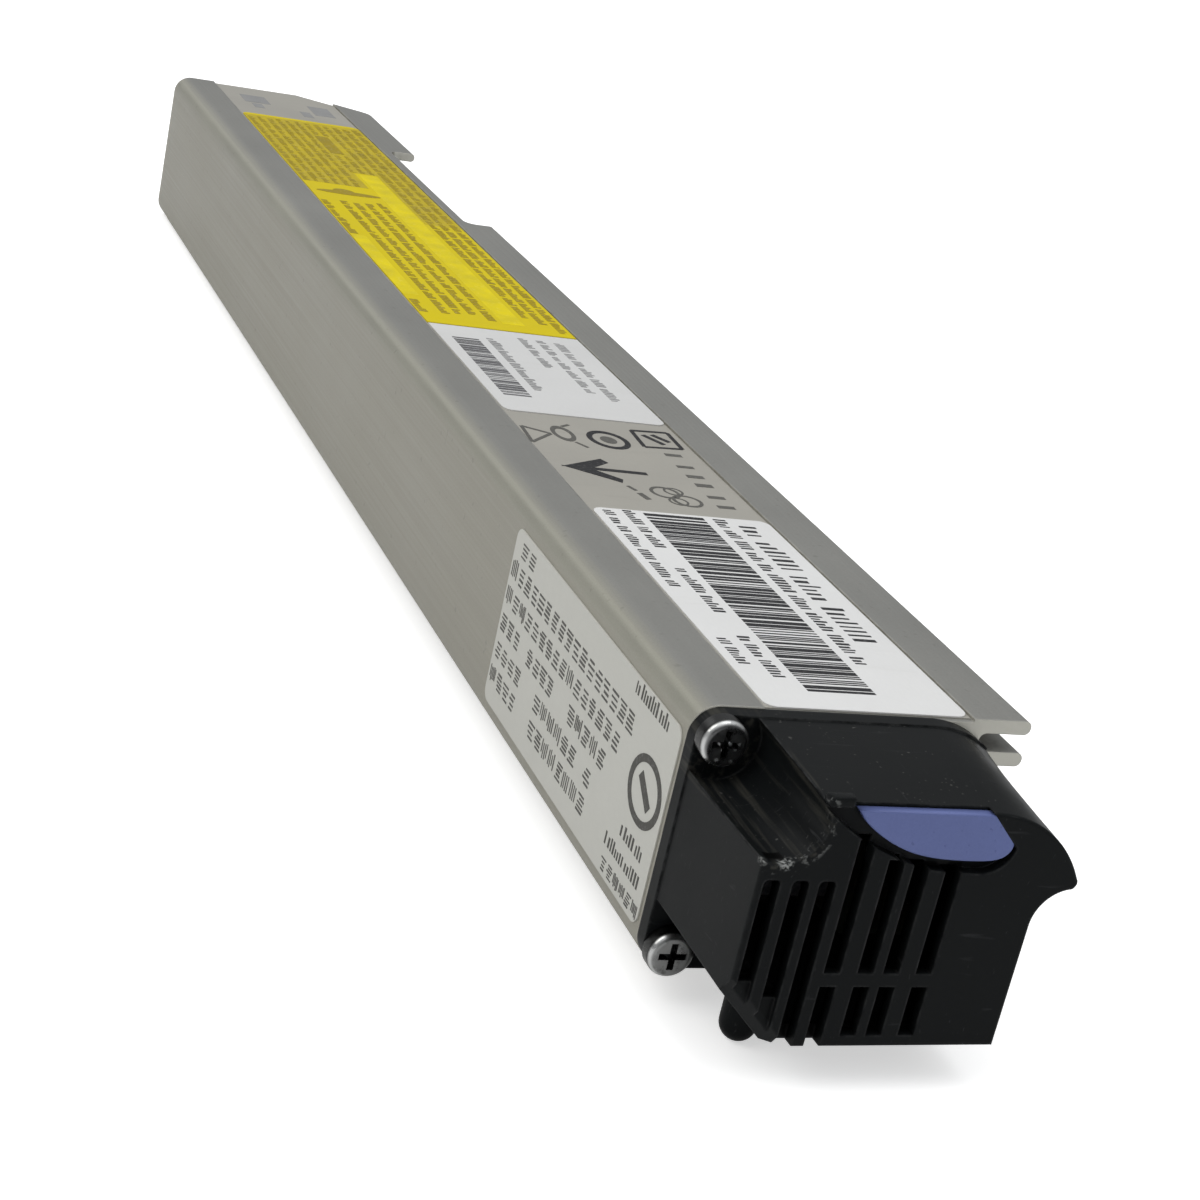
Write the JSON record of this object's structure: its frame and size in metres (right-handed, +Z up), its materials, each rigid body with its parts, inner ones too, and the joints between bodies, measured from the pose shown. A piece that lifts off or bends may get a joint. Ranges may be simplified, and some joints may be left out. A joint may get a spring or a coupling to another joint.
{
  "type": "hot-swap battery module",
  "caption": "Long narrow battery module: an extruded metal tube with a double side rail, labelled top, black grille cap with finger scoop and a recessed rear connector.",
  "frame": {"origin": "centre of the flat bottom of the tube, halfway along it and halfway across its body without the rail", "axes": "+Y runs back along the tube from the cap to the connector, +X points to the side with the double rail, +Z points up to the labels"},
  "size_m": [0.0373, 0.299, 0.031],
  "materials": {
    "tube_alloy": "matt natural anodised, light wear",
    "cap_black": "fine satin moulding",
    "pad_blue": "satin",
    "screw_zinc": "bright zinc plate",
    "label_silver": "matt silver foil label",
    "label_white": "matt",
    "label_yellow": "matt",
    "label_grey": "matt",
    "cell_wrap": "shrink film over a steel can",
    "ring_fibre": "matt",
    "shell_plastic": "satin moulding",
    "strip_nickel": "plain nickel",
    "foam_grey": "closed-cell foam",
    "board_green": "solder mask",
    "carrier_plastic": "satin moulding",
    "chip_black": "matt",
    "part_ceramic": "matt",
    "part_white": "matt",
    "connector_ivory": "satin",
    "contact_gold": "gold plate",
    "lead_black": "satin",
    "lead_red": "satin",
    "lead_white": "satin"
  },
  "bodies": {
    "root": {"housing": "tube_alloy", "front_cap": "cap_black", "touch_pad": "pad_blue", "front_screws": "screw_zinc", "base_label": "label_silver", "front_white_label": "label_white", "rear_white_label": "label_white", "yellow_label": "label_yellow", "side_label": "label_grey", "cell_front": "cell_wrap", "cell_middle": "cell_wrap", "cell_rear": "cell_wrap", "insulator_rings": "ring_fibre", "cell_tray": "shell_plastic", "cell_cover": "shell_plastic", "link_strip_front": "strip_nickel", "link_strip_rear": "strip_nickel", "negative_strip": "strip_nickel", "positive_strip": "strip_nickel", "foam_strips": "foam_grey", "end_foam": "foam_grey", "circuit_board": "board_green", "board_carrier": "carrier_plastic", "board_screws": "screw_zinc", "gauge_chip": "chip_black", "power_transistors": "chip_black", "fuse": "part_white", "sense_resistor": "part_ceramic", "capacitors": "part_ceramic", "rear_plug": "cap_black", "plug_screws": "screw_zinc", "connector_housing": "connector_ivory", "connector_contacts": "contact_gold", "negative_lead": "lead_black", "positive_lead": "lead_red", "sense_lead_front": "lead_white", "sense_lead_rear": "lead_white"}
  },
  "joints": []
}
